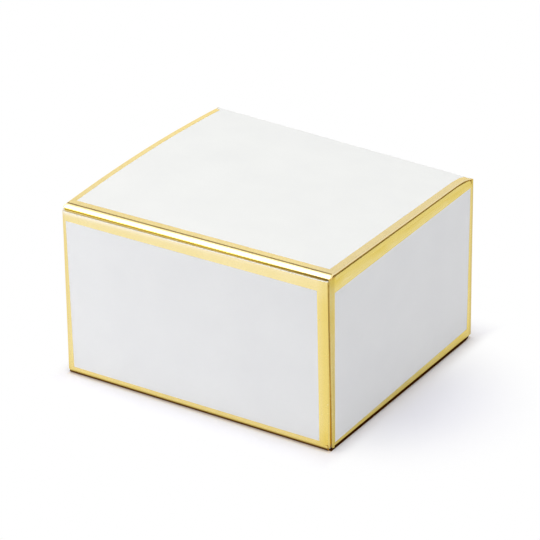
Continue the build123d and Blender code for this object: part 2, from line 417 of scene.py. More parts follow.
def foil(name, body, place, point, normal, gold, mask, **looks):
    """The foil on a panel: a thin layer that stands on the board's own points."""
    sheet = shell(f"{name}_gold", place(point + FOIL_TOP * normal), place(point + FOIL_UNDER * normal),
                  [gold] * 3, mask=mask, **looks)
    dress(sheet, body, f"{name}_foil")


def part_length(part):
    if part[0] == "line":
        return math.dist(part[1], part[2])
    return part[2] * math.radians(part[4] - part[3])


def line_length(parts):
    return sum(part_length(part) for part in parts)


def trace(parts, s):
    """Points and outward normals at these distances along a plan line of straight runs and arcs."""
    s = np.asarray(s, float)
    point, normal = np.zeros(s.shape + (2,)), np.zeros(s.shape + (2,))
    start = 0.0
    for k, part in enumerate(parts):
        length = part_length(part)
        if part[0] == "line":
            a, b = np.array(part[1]), np.array(part[2])
            along = (b - a) / length
            here = a + (s - start)[..., None] * along
            face = np.broadcast_to((along[1], -along[0]), here.shape)
        else:
            centre, radius = np.array(part[1]), part[2]
            angle = math.radians(part[3]) + (s - start) / radius
            face = np.stack([np.cos(angle), np.sin(angle)], -1)
            here = centre + radius * face
        last = k == len(parts) - 1
        pick = ((s >= start - 1e-9) | (k == 0)) & ((s <= start + length + 1e-9) | last)
        point[pick], normal[pick] = here[pick], face[pick]
        start += length
    return point, normal


def spread(stops, step):
    """Sample places through these stops, no further apart than step."""
    out = [stops[0]]
    for a, b in zip(stops, stops[1:]):
        n = max(1, math.ceil((b - a) / step - 1e-6))
        out += [a + (b - a) * k / n for k in range(1, n + 1)]
    return np.array(out)


# Upright walls

ARC = FOLD * math.pi / 4
FL = (-HALF_W + FOLD, -HALF_D + FOLD)
BL = (-HALF_W + FOLD, HALF_D - FOLD)
BR = (HALF_W - FOLD, HALF_D - FOLD)
SEAM = (SEAM_X - FOLD, -HALF_D + FOLD)
CREASE_LOW, CREASE_HIGH = 1.15, HEIGHT - 1.3
HINGE_LOW, HINGE_HIGH = 0.95, HEIGHT - 1.15
CORNER_LOW, SEAM_LOW, RIGHT_TOP = 0.75, 0.47, FLAP_LEVEL + 0.1
SEAM_LEAN = 0.8
BULGE = {"front": 0.10, "right": 0.06, "back": 0.12, "left": 0.08}

# Each wall has its plan line, the place where that line starts and the way it runs, and its foil's window:
# (place along the wall, height) at the bottom left, bottom right, top left and top right corner.
# Its ends, low and high, have a level within a span and a level outside it, then the span's two places.
# The front and the right wall say which end of their line is at the seam.
WALLS = {
    "front": {
        "line": [("arc", FL, FOLD, 225, 270), ("line", (FL[0], -HALF_D), (SEAM[0], -HALF_D)),
                 ("arc", SEAM, FOLD, 270, 315)],
        "window": [(-28.36, 1.58), (27.54, 1.74), (-28.97, 33.55), (27.24, 33.20)],
        "zero": FL[0] - ARC, "sense": 1, "gold": GOLD, "seam": "last",
        "low": (HINGE_LOW, CORNER_LOW, FL[0], SEAM[0]),
        "high": (CUT_TOP, CUT_TOP, FL[0], SEAM[0]),
    },
    "right": {
        "line": [("line", (HALF_W, SEAM_Y), (HALF_W, BR[1])), ("arc", BR, FOLD, 0, 45)],
        "window": [(-25.87, 1.40), (25.23, 2.59), (-25.77, 32.70), (25.86, 33.74)],
        "zero": SEAM_Y, "sense": 1, "gold": GOLD_SIDE_PAINTED_SHADE, "seam": "first",
        "low": (CREASE_LOW, CORNER_LOW, -DUST_BACK, -DUST_FRONT),
        "high": (CREASE_HIGH, RIGHT_TOP, FOLD_FRONT, DUST_BACK),
    },
    "back": {
        "line": [("arc", BR, FOLD, 45, 90), ("line", (BR[0], HALF_D), (BL[0], HALF_D)),
                 ("arc", BL, FOLD, 90, 135)],
        "window": [(28.5, 2.5), (-28.5, 2.35), (28.4, 33.75), (-28.6, 33.65)],
        "zero": BR[0] + ARC, "sense": -1, "gold": GOLD,
        "low": (CUT_BOTTOM, CUT_BOTTOM, BR[0], BL[0]),
        "high": (HINGE_HIGH, FLAP_LEVEL, BR[0], BL[0]),
    },
    "left": {
        "line": [("arc", BL, FOLD, 135, 180), ("line", (-HALF_W, BL[1]), (-HALF_W, FL[1])),
                 ("arc", FL, FOLD, 180, 225)],
        "window": [(26.0, 2.3), (-25.4, 2.45), (26.1, 33.6), (-25.3, 33.5)],
        "zero": BL[1] + ARC, "sense": -1, "gold": GOLD_SIDE_PAINTED_SHADE,
        "low": (CREASE_LOW, CORNER_LOW, -DUST_FRONT, -DUST_BACK),
        "high": (CREASE_HIGH, SIDE_TOP, DUST_BACK, DUST_FRONT),
    },
}

# A wall's grid: a border's width and its rows as shares of it, the window's rows, and the jog at a span's end
BORDER, BORDER_ROWS, WINDOW_ROWS = 2.1, (0.3, 0.55, 0.8), 24
ARC_STEPS, GRID_STEP, JOG, JOG_CLEAR = 8, 1.6, 0.02, 0.2


def starts_cut(wall):
    return wall["line"][0][0] == "line"


def fold_ends(wall, total):
    """Distances of those ends of a wall that are folds."""
    ends = (wall["line"][0], 0.0), (wall["line"][-1], total)
    return [end for part, end in ends if part[0] == "arc"]


def wall_grid(wall):
    """Distances along and heights of a wall's grid, in three by three blocks round its window."""
    total = line_length(wall["line"])

    def distance(place):
        return (place - wall["zero"]) * wall["sense"]

    bl, br, tl, tr = [(distance(a), z) for a, z in wall["window"]]
    left, right = (bl[0] + tl[0]) / 2, (br[0] + tr[0]) / 2
    low_span, high_span = ([distance(a) for a in wall[end][2:]] for end in ("low", "high"))
    stops = {0.0, left, right, total}
    for end in fold_ends(wall, total):
        stops |= {abs(end - ARC * n / ARC_STEPS) for n in range(1, ARC_STEPS + 1)}
    for edge in low_span + high_span:
        if JOG_CLEAR < edge < total - JOG_CLEAR:
            stops |= {edge - JOG, edge + JOG}
    if starts_cut(wall):
        stops |= set(BURR_STEPS)
    places = spread(sorted(stops), GRID_STEP)
    c = np.interp(places, [0, left, right, total], [0, 1, 2, 3])
    near = [d / BORDER for d in BURR_STEPS] + list(BORDER_ROWS)
    window_rows = list(1 + np.arange(WINDOW_ROWS) / WINDOW_ROWS)
    r = np.array([0] + near + window_rows + [2] + [3 - d for d in near[::-1]] + [3])
    low = np.where((places > low_span[0]) & (places < low_span[1]), *wall["low"][:2])
    if wall.get("seam") == "first":
        low = np.where(places < low_span[0], SEAM_LOW, low)
    if wall.get("seam") == "last":
        low = np.where(places > low_span[1], SEAM_LOW, low)
    high = np.where((places > high_span[0]) & (places < high_span[1]), *wall["high"][:2])
    s_at, z_at = np.zeros((len(r), len(c))), np.zeros((len(r), len(c)))
    for i, row in enumerate(r):
        s1, s2 = np.interp(row, [1, 2], [bl[0], tl[0]]), np.interp(row, [1, 2], [br[0], tr[0]])
        s_at[i] = np.interp(c, [0, 1, 2, 3], [0, s1, s2, total])
    for j, col in enumerate(c):
        z1, z2 = np.interp(col, [1, 2], [bl[1], br[1]]), np.interp(col, [1, 2], [tl[1], tr[1]])
        z_at[:, j] = np.interp(r, [0, 1, 2, 3], [low[j], z1, z2, high[j]])
    if starts_cut(wall):
        s_at -= SEAM_LEAN * z_at / HEIGHT * np.clip(1 - c, 0, 1)
    border = np.ones((len(r) - 1, len(c) - 1), bool)
    mid_r, mid_c = (r[:-1] + r[1:]) / 2, (c[:-1] + c[1:]) / 2
    border[np.ix_((mid_r > 1) & (mid_r < 2), (mid_c > 1) & (mid_c < 2))] = False
    return s_at, z_at, border, total


def stand(line, s_at, z_at, bulge, seed):
    """Outer surface of an upright sheet and its normals, with the board's unevenness."""
    xy, n = trace(line, s_at)
    point = np.concatenate([xy, z_at[..., None]], -1)
    normal = np.concatenate([n, np.zeros_like(z_at)[..., None]], -1)
    total = line_length(line)
    swell = bulge * (1 - (2 * s_at / total - 1) ** 2) * (1 - (2 * z_at / HEIGHT - 1) ** 2)
    return point + normal * (np.clip(swell, 0, None) + ripple(point, seed=seed))[..., None], normal


# Painted shade and light on a wall's foil, as deeper, paler and darker stretches by its edges, with a deeper
# tone
# over all the front: field, strength, the edge it starts from, its end and its fade
FOIL_TONE = {"front": 0.25}
FOIL_LOOKS = {
    "front": (("shade", 0.07, "first", 1.2, 0.8), ("tone", 0.1, "last", 9.2, 6),
              ("tone", 0.4, "last", 2.4, 2), ("tone", 0.25, "foot", 6, 4), ("tone", -0.25, "top", 6.3, 4)),
    "right": (("shade", 0.2, "first", 1.0, 0.7), ("shade", 0.26, "last", 1.4, 0.8),
              ("tone", 0.3, "first", 4, 2), ("tone", 0.35, "foot", 8, 6), ("tone", 0.5, "top", 3.1, 1.8)),
}
# Blotches of the right wall's foil, which vary its tone at random, and the painted highlight along the front
# wall's cut edge, strongest at its left
BLOTCH, BLOTCH_LENGTH, BLOTCH_SEED, BLOTCH_LEAST, BLOTCH_MOST = 0.6, 6.0, 5.0, -0.2, 0.4
PAINTED_HIGHLIGHT_LEFT, PAINTED_HIGHLIGHT_RIGHT, PAINTED_HIGHLIGHT_REACH = 0.9, 0.05, 0.45
CUT_WEAR, CUT_WORN = 0.45, 0.06
FOLD_WEAR, FOLD_WORN = 0.5, 0.16


def foil_looks(name, s_at, z_at, total, point):
    """Painted shade and painted highlight on a wall's foil, by the edges of the wall, with random blotches on
    the right wall.
    """
    away = {"first": s_at, "last": total - s_at, "foot": z_at, "top": HEIGHT - z_at}
    fields = {"tone": np.full(s_at.shape, FOIL_TONE.get(name, 0.0)), "shade": np.zeros(s_at.shape)}
    for field, strength, edge, end, fade in FOIL_LOOKS.get(name, ()):
        fields[field] += strength * smooth((end - away[edge]) / fade)
    pale = np.zeros(s_at.shape)
    if name == "front":
        pale = PAINTED_HIGHLIGHT_LEFT + (PAINTED_HIGHLIGHT_RIGHT - PAINTED_HIGHLIGHT_LEFT) * s_at / total
        pale = pale * np.exp(-((CUT_TOP - z_at) / PAINTED_HIGHLIGHT_REACH) ** 2)
    if name == "right":
        blotch = ripple(point, BLOTCH, BLOTCH_LENGTH, BLOTCH_SEED)
        fields["tone"] += np.clip(blotch, BLOTCH_LEAST, BLOTCH_MOST)
    return fields["tone"], pale, fields["shade"]


def upright_wall(name, wall, seed):
    """Board and foil of one wall, worn at its folds and burred at its cut edges."""
    s_at, z_at, border, total = wall_grid(wall)
    point, normal = stand(wall["line"], s_at, z_at, BULGE[name], seed)
    under = point - BOARD * normal
    tone, pale, shade = foil_looks(name, s_at, z_at, total, point)
    wear = np.zeros(s_at.shape)
    cuts = []
    if starts_cut(wall):
        cuts.append(s_at - s_at[:, :1])
    if name == "back":
        cuts.append(z_at - CUT_BOTTOM)
    for distance in cuts:
        point = point - normal * burr(distance)[..., None]
        wear = np.maximum(wear, CUT_WEAR * np.exp(-(distance / CUT_WORN) ** 2))
    for end in fold_ends(wall, total):
        wear = np.maximum(wear, FOLD_WEAR * np.exp(-((s_at - end) / FOLD_WORN) ** 2))
    # The right wall's cut edge at the seam is painted shade, a warm brown
    rim = EDGE_WARM_PAINTED_SHADE if name == "right" else EDGE
    board = shell(f"{name}_board", settle(point), settle(under), [WHITE, RAW, rim])
    dress(board, "carton", f"{name}_panel")
    foil(name, "carton", settle, point, normal, wall["gold"], border,
         wear=wear, tone=tone, pale=pale, crease=shade)


WALL_SEED = 3.7
for k, (name, wall) in enumerate(WALLS.items()):
    upright_wall(name, wall, WALL_SEED * k)

# Glue flap inside the right wall: its ends slant in from the fold, where they reach out to the wall's ends.
# The gold of the front wall goes on round the fold and shows in the seam, with painted shade: the foil is
# toned deeper and darkened evenly, and from just past the fold's middle to a millimetre beyond it, it is a
# dull amber painted-shade gold.
GLUE_LOW, GLUE_HIGH, GLUE_SLANT = 2.75, HEIGHT - 2.75, 2.5
GLUE_REACH, GLUE_FOOT, GLUE_STEP = 1.8, 0.4, 0.9
GLUE_ROWS, GLUE_SEED = 25, 21.0
GLUE_BLEED, GLUE_BRIGHT = ARC + 1.0, 0.6 * ARC
GLUE_PAINTED_TONE, GLUE_PAINTED_SHADE = 0.75, 0.10


def glue_flap():
    line = [("arc", SEAM, FOLD, 315, 360), ("line", (SEAM_X, SEAM[1]), (SEAM_X, GLUE_END))]
    total = line_length(line)
    arc_stops = {ARC * n / ARC_STEPS for n in range(ARC_STEPS + 1)}
    s = spread(sorted({*spread(sorted(arc_stops | {total}), FOLD), GLUE_BLEED}), FOLD)
    slant = GLUE_SLANT * np.clip((s - ARC) / (total - ARC), 0, 1)
    slant -= GLUE_REACH * (1 - smooth((s - GLUE_BRIGHT) / GLUE_STEP))
    low = GLUE_LOW + slant + GLUE_FOOT * np.minimum(slant, 0) / GLUE_REACH
    high = GLUE_HIGH - slant
    z = low + (high - low) * np.linspace(0, 1, GLUE_ROWS)[:, None]
    point, normal = stand(line, np.broadcast_to(s, z.shape), z, 0, GLUE_SEED)
    middle = (s[:-1] + s[1:]) / 2
    zones = np.where(middle < GLUE_BRIGHT, 4, np.where(middle < GLUE_BLEED, 3, 0))
    zones = np.broadcast_to(zones, (GLUE_ROWS - 1, len(s) - 1))
    flap = shell("glue_flap_board", settle(point), settle(point - BOARD * normal),
                 [WHITE, RAW, EDGE, GOLD_PAINTED_SHADE, GOLD], zones,
                 tone=np.full(z.shape, GLUE_PAINTED_TONE), crease=np.full(z.shape, GLUE_PAINTED_SHADE))
    dress(flap, "carton", "glue_flap")


# Film of adhesive between the glue flap and the right wall, with uneven edges
FILM_START, FILM_WIDTH, FILM_LOW, FILM_HEIGHT = -HALF_D + 1.5, 9.2, 5.3, 25.7
FILM_GAP, FILM_THICK = 0.004, 0.042
FILM_WAVE_Y, FILM_TURN_Y, FILM_PHASE_Y = 0.25, 9, 1
FILM_WAVE_Z, FILM_TURN_Z = 0.3, 7
FILM_COLUMNS, FILM_ROWS = 30, 40


def adhesive_film():
    u, v = np.linspace(0, 1, FILM_COLUMNS)[None, :], np.linspace(0, 1, FILM_ROWS)[:, None]
    y = FILM_START + FILM_WIDTH * u + FILM_WAVE_Y * np.sin(FILM_TURN_Y * v + FILM_PHASE_Y) * (2 * u - 1)
    z = FILM_LOW + FILM_HEIGHT * v + FILM_WAVE_Z * np.sin(FILM_TURN_Z * u) * (2 * v - 1)
    film = np.stack([np.full(y.shape, SEAM_X + FILM_GAP), y, z], -1)
    film_obj = shell("seam_adhesive", settle(film + (FILM_THICK, 0, 0)), settle(film), [GLUE, GLUE, GLUE])
    dress(film_obj, "carton", "seam_glue")


glue_flap()
adhesive_film()


# Closures: flat panel, nose, foil, tuck flap and dust flaps, each made for the lid and turned for the base

SHOULDER_LEFT, CORNER_RIGHT, FLARE_LEFT = 0.15, 0.08, 0.28
SHOULDER_TOP, SHOULDER_FADE = HEIGHT - 0.8, 0.2
FLARE_TOP, FLARE_FADE, FLARE_FOOT = HEIGHT - 0.1, 0.3, 0.15
NARROW_FROM, NARROW_REACH, CORNER_REACH = 26.8, 3.0, 0.5
CRUSH, CRUSH_REACH = 0.38, 1.0
HINGE_HALF = BR[0] + 0.25
# Amount and length of the unevenness
PANEL_RIPPLE, TUCK_RIPPLE, DUST_RIPPLE = (0.03, 13.0), (0.05, 14.0), (0.03, 12.0)
# Section of the nose from the lid to the tuck fold: first and last slope in degrees, and length of each bend
NOSE_BENDS = ((2, 28, 0.40), (28, 54, 1.00), (54, 64, 0.10), (64, 78, 0.38), (78, 86, 0.06))
NOSE_STEP, TUCK_START = 0.005, 0.3


def bend_table():
    """Distance, place and slope along the nose's section, measured from the lid."""
    slopes = []
    for first, last, length in NOSE_BENDS:
        n = round(length / NOSE_STEP)
        slopes += [first + (last - first) * (k + 0.5) / n for k in range(n)]
    slopes = np.radians(slopes)
    drop = HEIGHT - NOSE_LEVEL - NOSE_STEP * np.sin(slopes).sum()
    slopes = np.concatenate([slopes, np.full(round(drop / math.sin(slopes[-1]) / NOSE_STEP), slopes[-1])])
    y = np.concatenate([[0], -np.cumsum(np.cos(slopes)) * NOSE_STEP])
    z = np.concatenate([[0], -np.cumsum(np.sin(slopes)) * NOSE_STEP])
    s = NOSE_STEP * np.arange(len(y))
    return s, y - y[-1] + NOSE_FACE, z + HEIGHT, np.concatenate([slopes[:1], slopes])


NOSE_S, NOSE_Y, NOSE_Z, NOSE_T = bend_table()
NOSE_TOP = float(NOSE_Y[0])
NOSE_CUT = float(NOSE_S[-1]) - TUCK_START


def nose_profile(s):
    """Points and outward normals of the nose's section at these distances from the lid."""
    s = np.asarray(s, float)
    slope = np.interp(s, NOSE_S, NOSE_T)
    point = np.stack([np.interp(s, NOSE_S, NOSE_Y), np.interp(s, NOSE_S, NOSE_Z)], -1)
    return point, np.stack([-np.sin(slope), np.cos(slope)], -1)


# Rows of a closure's grid: down the nose, just behind it, and across the window
NOSE_ROWS, EDGE_ROWS, FIELD_ROWS, HINGE_ROWS = 40, (0, 0.1, 0.25, 0.5, 0.8, 1.1), 30, (2.5, 3)


def nose_row(name, xs, s, shoulder):
    """Points and normal of the nose, across it, at this distance down its section."""
    (y, z), (ny, nz) = nose_profile(s)
    narrow = np.where(xs < 0, SHOULDER_LEFT, shoulder) * smooth((SHOULDER_TOP - z) / SHOULDER_FADE)
    narrow = np.where(xs < 0, narrow, np.maximum(narrow, CORNER_RIGHT))
    if name == "lid":
        flare = FLARE_LEFT * smooth((FLARE_TOP - z) / FLARE_FADE) * smooth((z - SHOULDER_TOP) / FLARE_FOOT)
        narrow = narrow - np.where(xs < 0, flare, 0)
    x = xs - np.sign(xs) * narrow * smooth((np.abs(xs) - NARROW_FROM) / NARROW_REACH)
    return np.stack([x, np.full_like(x, y), np.full_like(x, z)], -1), (0, ny, nz)


def panel_row(kind, value, xs, c, window, bows, border):
    """Points and normals across the flat panel, by distance behind the nose or by share of the window."""
    (xl_front, y_left), (xr_front, y_right), xl_back, xr_back = window
    half = xs[-1]
    front = np.interp(c, [1, 2], [y_left, y_right])
    end = np.where(np.abs(xs) < HINGE_HALF, FLAT_END, HINGE_END)
    if kind == "edge":
        y, r = np.full_like(xs, NOSE_TOP + value), 1
    else:
        last, r = end - border, value
        y = (r - 1) * (last - front) + front if r <= 2 else last + (r - 2) * (end - last)
    x1, x2 = np.interp(r, [1, 2], [xl_front, xl_back]), np.interp(r, [1, 2], [xr_front, xr_back])
    x = np.interp(c, [0, 1, 2, 3], [-half, x1, x2, half])
    round_off = CORNER_RIGHT * np.exp(-(y - NOSE_TOP) / CORNER_REACH)
    x = x - np.where(x > 0, round_off, 0) * smooth((x - NARROW_FROM) / NARROW_REACH)
    middle, reach = (HINGE_END + NOSE_TOP) / 2, (HINGE_END - NOSE_TOP) / 2
    t = (y - middle) / reach
    bow = bows[0] + (bows[1] - bows[0]) * (x + half) / (2 * half)
    slope = -2 * bow * t / reach
    n = np.stack([np.zeros_like(x), -slope, np.ones_like(x)], -1)
    n /= np.linalg.norm(n, axis=-1, keepdims=True)
    return np.stack([x, y, HEIGHT + bow * (1 - t ** 2)], -1), n


# Looks of a closure's foil. Down the nose come a painted dark groove line, strongest at intervals, then
# painted deeper gold and a painted dark foot that grows from left to right, all painted shade. The lid is
# worn at its sides and its right border has a painted duller, paler reflection; the base's sides are painted
# shade.
GROOVE_AT, GROOVE_WIDTH = 0.17, 0.085
GROOVE_MEAN, GROOVE_SWING, GROOVE_FIRST, GROOVE_WAVE = 0.72, 0.28, -25.5, 26.5
GROOVE_END, GROOVE_FADE = 27.5, 1.5
DEEP_FROM, DEEP_FADE = 1.21, 0.25
LOW_FROM, LOW_FADE, LOW_RISE = 1.38, 0.15, 0.15
LOW_LEAST, LOW_GAIN, LOW_START, LOW_REACH = 0.06, 0.75, 5, 24
SIDE_WEAR, SIDE_WORN, SIDE_PAINTED_SHADE = 0.5, 0.06, 0.5
RIGHT_PAINTED_SHADE, RIGHT_PAINTED_PALE, RIGHT_FROM, RIGHT_FADE = 0.15, 0.19, 22, 7


def closure_looks(name, rows, xs, side):
    """Worn stretches of a closure's foil, with its painted shade, painted deeper gold and painted paler
    reflection.
    """
    wear, dark, tone, pale = (np.zeros((len(rows), len(xs))) for _ in range(4))
    if name == "lid":
        wear += SIDE_WEAR * np.exp(-(side / SIDE_WORN) ** 2)[None, :]
    else:
        dark += smooth(1 - side / SIDE_PAINTED_SHADE)[None, :]
    towards = smooth((xs - LOW_START) / LOW_REACH)
    wave = np.cos(2 * math.pi * (xs - GROOVE_FIRST) / GROOVE_WAVE)
    painted_groove = (GROOVE_MEAN + GROOVE_SWING * wave) * (1 - smooth((xs - GROOVE_END) / GROOVE_FADE))
    dull = smooth((xs - RIGHT_FROM) / RIGHT_FADE)
    for i, (kind, value) in enumerate(rows):
        if kind == "nose":
            low = smooth((value - LOW_FROM + LOW_RISE * towards) / LOW_FADE)
            low = low * (LOW_LEAST + LOW_GAIN * towards)
            line = painted_groove * math.exp(-((value - GROOVE_AT) / GROOVE_WIDTH) ** 2)
            dark[i] = np.maximum(np.maximum(dark[i], low), line)
            tone[i] = smooth((value - DEEP_FROM) / DEEP_FADE)
        elif name == "lid":
            dark[i] = RIGHT_PAINTED_SHADE * dull
            pale[i] = RIGHT_PAINTED_PALE * dull
    return {"wear": wear, "crease": dark, "tone": tone, "pale": pale}


def closure(name, place, window, bows, border, shoulder, half, seed):
    """Board and foil of a closing panel; place puts ideal points into the carton."""
    (xl_front, _), (xr_front, _), xl_back, xr_back = window
    window_left, window_right = (xl_front + xl_back) / 2, (xr_front + xr_back) / 2
    stops = {side * (half - d) for side in (-1, 1) for d in (0,) + BURR_STEPS}
    stops |= {window_left, window_right}
    stops |= {side * (HINGE_HALF + d) for side in (-1, 1) for d in (-JOG, JOG)}
    xs = spread(sorted(stops), GRID_STEP)
    c = np.interp(xs, [-half, window_left, window_right, half], [0, 1, 2, 3])
    rows = [("nose", s) for s in np.linspace(NOSE_CUT, 0, NOSE_ROWS)[:-1]]
    crease = len(rows)
    rows += [("edge", d) for d in EDGE_ROWS]
    rows += [("field", t) for t in 1 + np.arange(FIELD_ROWS + 1) / FIELD_ROWS]
    if border:
        rows += [("field", t) for t in HINGE_ROWS]
    point = np.zeros((len(rows), len(c), 3))
    normal = np.zeros_like(point)
    for i, (kind, value) in enumerate(rows):
        if kind == "nose":
            point[i], normal[i] = nose_row(name, xs, value, shoulder)
        else:
            point[i], normal[i] = panel_row(kind, value, xs, c, window, bows, border)
    point += normal * ripple(point, *PANEL_RIPPLE, seed)[..., None]
    under = point - BOARD * normal
    side = half - np.abs(xs)
    # The lid's cut edges are a painted-shade brown and the base's a nearly black painted shade, for the gap
    # lines along them
    if name == "lid":
        cut = EDGE_GOLD_PAINTED_SHADE
        point -= normal * burr(side)[None, :, None]
    else:
        cut = EDGE_DARK_PAINTED_SHADE
        under[..., 0] -= np.sign(xs) * CRUSH * smooth(1 - side / CRUSH_REACH)
    nose, flat = slice(0, crease + 1), slice(crease, None)
    board = shell(f"{name}_board", place(point[flat]), place(under[flat]), [WHITE, RAW, cut])
    dress(board, name, f"{name}_panel")
    roll = shell(f"{name}_nose_board", place(point[nose]), place(under[nose]), [WHITE, RAW, cut])
    dress(roll, name, f"{name}_nose")
    mask = np.ones((len(rows) - 1, len(c) - 1), bool)
    mid_c = (c[:-1] + c[1:]) / 2
    for i, (kind, value) in enumerate(rows[:-1]):
        if kind == "field" and value < 2:
            mask[i, (mid_c > 1) & (mid_c < 2)] = False
    foil(name, name, place, point, normal, GOLD, mask, **closure_looks(name, rows, xs, side))


def tuck_plane(s, across, out):
    """Points of a tuck flap: distance down from its fold, place across, and height off its middle plane."""
    sine, cosine = math.sin(TUCK_LEAN), math.cos(TUCK_LEAN)
    y = TUCK_Y + s * sine - out * cosine
    z = NOSE_LEVEL - s * cosine - out * sine
    return np.stack([across, y, z], -1)


TUCK_BLEED, TUCK_FIRST, TUCK_ROUND = 2.4, 1.1, 7.0
TUCK_TAPER, TUCK_CURL, TUCK_END_STEPS, TUCK_COLUMNS = 0.8, 0.25, 15, 49
FLAP_STEP = 1.2


def rounded_end(length, radius, steps):
    """Distances through a quarter circle that ends a flap of this length."""
    turn = np.linspace(0, math.pi / 2, steps)[1:]
    return length - radius + radius * np.sin(turn)


def corner_loss(s, length, radius):
    """How much a flap's rounded end takes off its side at these distances."""
    into = np.clip(s - (length - radius), 0, radius)
    return radius - np.sqrt(radius ** 2 - into ** 2)


def tuck_flap(name, place, seed):
    """Tapered, rounded flap that goes on from the nose, curled a little towards its end."""
    s = spread([TUCK_FIRST, TUCK_BLEED, TUCK_LENGTH - TUCK_ROUND], FLAP_STEP)
    s = np.concatenate([s, rounded_end(TUCK_LENGTH, TUCK_ROUND, TUCK_END_STEPS)])
    half = TUCK_HALF - TUCK_TAPER * s / TUCK_LENGTH - corner_loss(s, TUCK_LENGTH, TUCK_ROUND)
    u = np.linspace(-1, 1, TUCK_COLUMNS)
    across = half[:, None] * u[None, :]
    s_at = np.broadcast_to(s[:, None], across.shape)
    flat = tuck_plane(s_at, across, np.zeros_like(across))
    curl = ripple(flat, *TUCK_RIPPLE, seed) + TUCK_CURL * (s_at / TUCK_LENGTH) ** 2
    outer = tuck_plane(s_at, across, BOARD / 2 - curl)
    inner = tuck_plane(s_at, across, -BOARD / 2 - curl)
    zones = np.zeros((len(s) - 1, len(u) - 1), int)
    zones[(s[:-1] + s[1:]) / 2 < TUCK_BLEED] = 3
    flap = shell(f"{name}_tuck_board", place(outer), place(inner), [WHITE, RAW, EDGE, GOLD], zones)
    dress(flap, f"{name}_tuck", f"{name}_tuck_flap")


DUST_FIRST, DUST_BLEED, DUST_CORNER = HALF_W - 1.15, HALF_W - 2.4, 3.0
DUST_TAPER_BACK, DUST_TAPER_FRONT, DUST_DROOP = 11.0, 1.5, 0.06
DUST_END_STEPS, DUST_COLUMNS = 12, 37


def dust_flap(name, side, sign, place, seed):
    """Tapered flap from a side wall's crease, lying under the lid or over the base."""
    x = spread([-DUST_FIRST, -DUST_BLEED, -DUST_TIP - DUST_CORNER], FLAP_STEP)
    x = np.concatenate([x, rounded_end(-DUST_TIP, DUST_CORNER, DUST_END_STEPS)])
    t = (DUST_ROOT + x) / (DUST_ROOT - DUST_TIP)
    loss = corner_loss(x, -DUST_TIP, DUST_CORNER)
    back = DUST_BACK - DUST_TAPER_BACK * t - loss
    front = DUST_FRONT + DUST_TAPER_FRONT * t + loss
    u = np.linspace(0, 1, DUST_COLUMNS)
    y = front[:, None] + (back - front)[:, None] * u[None, :]
    sheet = np.stack([np.broadcast_to(sign * -x[:, None], y.shape), y, np.full(y.shape, FLAP_LEVEL)], -1)
    sheet[..., 2] -= DUST_DROOP * t[:, None] - ripple(sheet, *DUST_RIPPLE, seed)
    under = sheet - (0, 0, BOARD)
    zones = np.zeros((len(x) - 1, len(u) - 1), int)
    zones[(x[:-1] + x[1:]) / 2 < -DUST_BLEED] = 3
    skins = [WHITE, RAW, EDGE, GOLD_SIDE_PAINTED_SHADE]
    flap = shell(f"{name}_{side}_dust_board", place(sheet), place(under), skins, zones)
    dress(flap, f"{name}_{side}_dust", f"{name}_{side}_dust_flap")


# Strips round the moving folds

STRIP_STEP, FOLD_STEPS, WEAR_SPREAD = 1.5, 10, 0.5
# The dark foot of a fold strip is painted shade: its fade, and the turn of the fold past which it stops
PAINTED_SHADE_FADE, PAINTED_SHADE_TURN, TURN_FADE = 0.07, 1.15, 0.2


def fold_strip(name, section, ends, axis, place, bodies, start, end, skin, worn, proud,
               painted_shade_from=None, deep=0.0, rim=EDGE):
    """A strip of board round a moving fold, between the two bodies that the fold joins."""
    points, normals = (np.array(part, float) for part in section)
    along = spread(sorted(ends), STRIP_STEP)
    outer = np.zeros((len(points), len(along), 3))
    normal = np.zeros_like(outer)
    outer[..., axis] = along[None, :]
    for k, other in enumerate(k for k in range(3) if k != axis):
        outer[..., other] = points[:, k][:, None]
        normal[..., other] = normals[:, k][:, None]
    turn = np.arccos(np.clip((normals * normals[0]).sum(-1), -1, 1))
    wear = worn * np.exp(-((turn - turn[-1] / 2) / WEAR_SPREAD) ** 2)
    wear = np.broadcast_to(wear[:, None], outer.shape[:2])
    shade = np.zeros(outer.shape[:2])
    tone = np.full(shade.shape, deep)
    # Painted shade: past its level the fold is darkened and its foil toned deeper, until the fold turns under
    if painted_shade_from:
        beside = 1 - smooth((turn - PAINTED_SHADE_TURN) / TURN_FADE)[:, None]
        shade = beside * smooth((outer[..., 2] - painted_shade_from) / PAINTED_SHADE_FADE)
        tone = beside * tone
    strip = shell(name, place(outer + proud * normal), place(outer - BOARD * normal), [skin, RAW, rim],
                  wear=wear, crease=shade, tone=tone)
    tuple(place(np.array(start)) * MM)
    tuple(place(np.array(end)) * MM)
    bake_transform(strip)


def round_fold(first, corner, last, radius):
    """Section of a fold, straight, round its corner and straight again, with its outward normals."""
    first, corner, last = (np.array(p, float) for p in (first, corner, last))
    a = (first - corner) / np.linalg.norm(first - corner)
    b = (last - corner) / np.linalg.norm(last - corner)
    near, far, centre = corner + radius * a, corner + radius * b, corner + radius * (a + b)
    turns = np.linspace(0, math.pi / 2, FOLD_STEPS + 1)
    bend = [-b * math.cos(turn) - a * math.sin(turn) for turn in turns]
    points = [first, (first + near) / 2, *(centre + radius * n for n in bend), (far + last) / 2, last]
    return points, [-b, -b, *bend, -a, -a]


# The base's hinge fold has a painted dark foot and a painted deeper tone
HINGE_RADIUS, HINGE_WEAR, HINGE_PAINTED_TONE, HINGE_PAINTED_SHADE_FROM = 0.5, 0.35, 0.8, HEIGHT - 0.56
HINGE_PAST_SEAM, BEND_NEAR, BEND_FAR = 0.6, 0.146, 0.854


